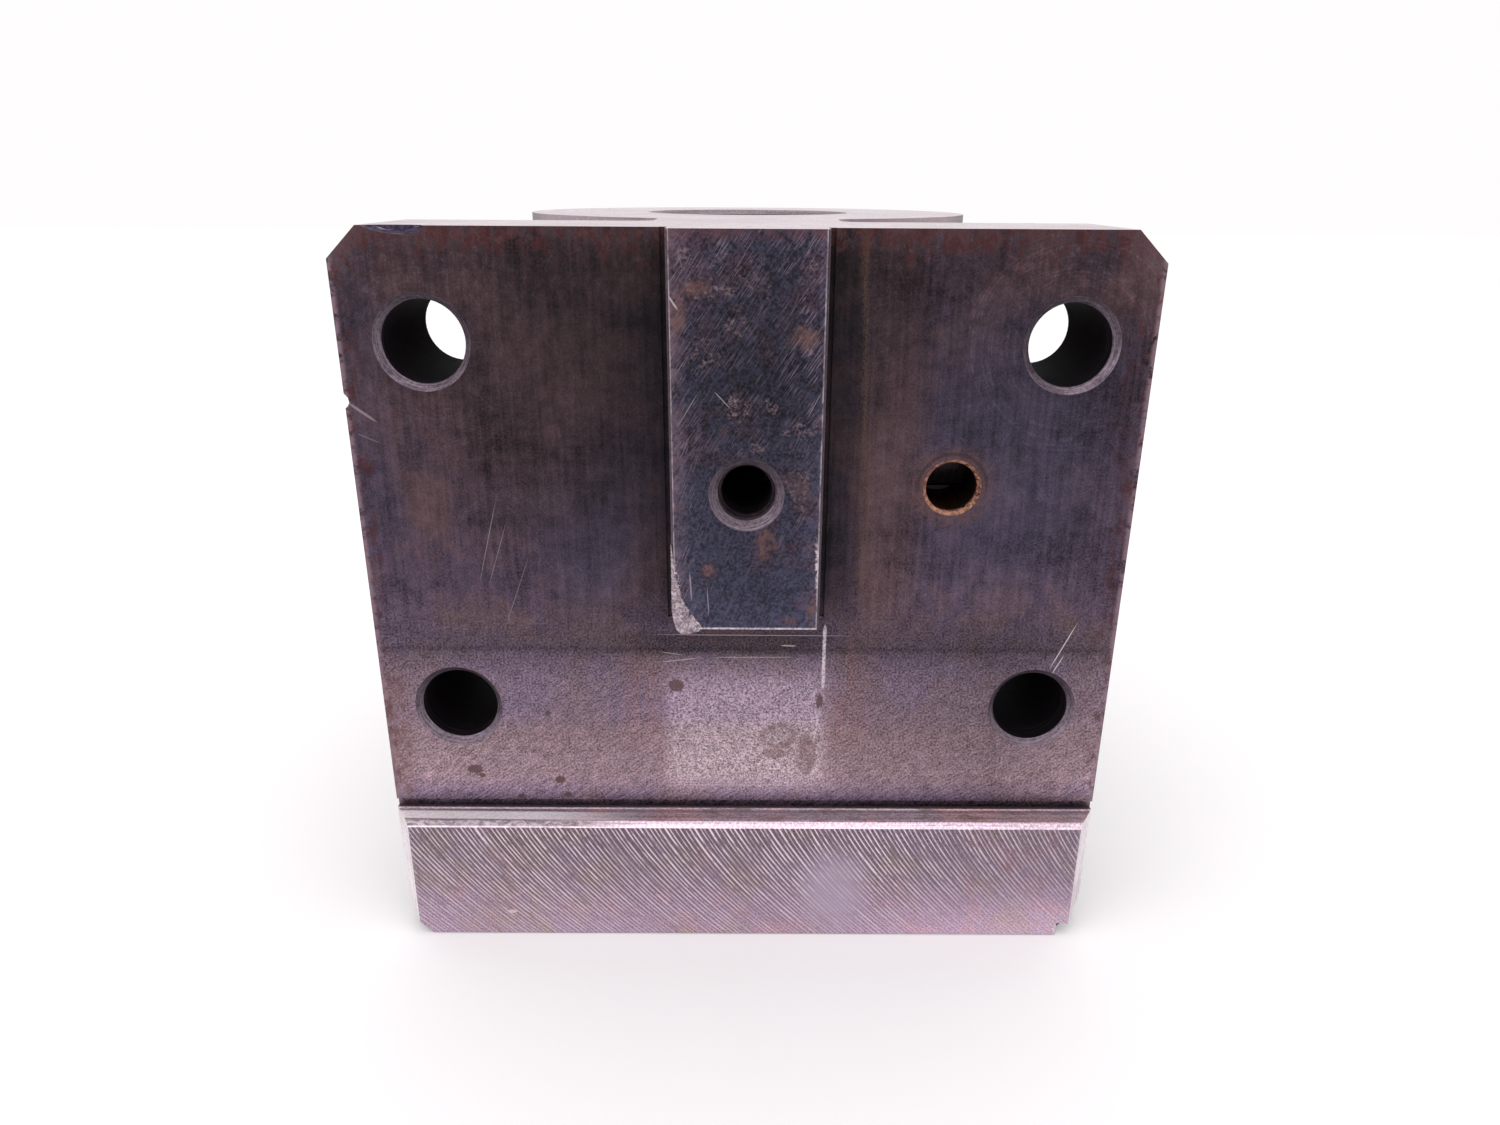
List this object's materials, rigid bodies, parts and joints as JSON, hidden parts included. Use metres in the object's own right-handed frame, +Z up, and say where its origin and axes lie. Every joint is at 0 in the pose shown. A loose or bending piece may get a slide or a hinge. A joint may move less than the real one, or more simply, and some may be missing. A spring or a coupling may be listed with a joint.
{
  "type": "boring bar holder block",
  "caption": "Flat-faced lathe turret block with a raised key, a hook lip, corner bolt holes and a round head bored for a boring bar, held by set screws.",
  "frame": {"origin": "in the plane of the mounting face, in the middle of the lip end that the block stands on", "axes": "+X to the right seen from the mounting face, +Y from the mounting face towards the bored head, +Z up along the bar bore, away from the lip"},
  "size_m": [0.131, 0.141, 0.129],
  "materials": {
    "block_steel": "dark oily patina with rust mottling, ground lip and scratched key",
    "screw_black": "black oxide",
    "plug_steel": "worn plain steel"
  },
  "bodies": {
    "holder": {"holder_body": "block_steel", "gallery_plug": "plug_steel"},
    "screw_1": {"clamp_screw_1": "screw_black"},
    "screw_2": {"clamp_screw_2": "screw_black"},
    "screw_3": {"clamp_screw_3": "screw_black"}
  },
  "joints": [
    {"name": "clamp_screw_1_travel", "type": "slide", "parent": "holder", "child": "screw_1", "axis": [0, 1, 0], "range_m": [-0.005, 0.007]},
    {"name": "clamp_screw_2_travel", "type": "slide", "parent": "holder", "child": "screw_2", "axis": [0, 1, 0], "range_m": [-0.005, 0.007]},
    {"name": "clamp_screw_3_travel", "type": "slide", "parent": "holder", "child": "screw_3", "axis": [0, 1, 0], "range_m": [-0.005, 0.007]}
  ]
}
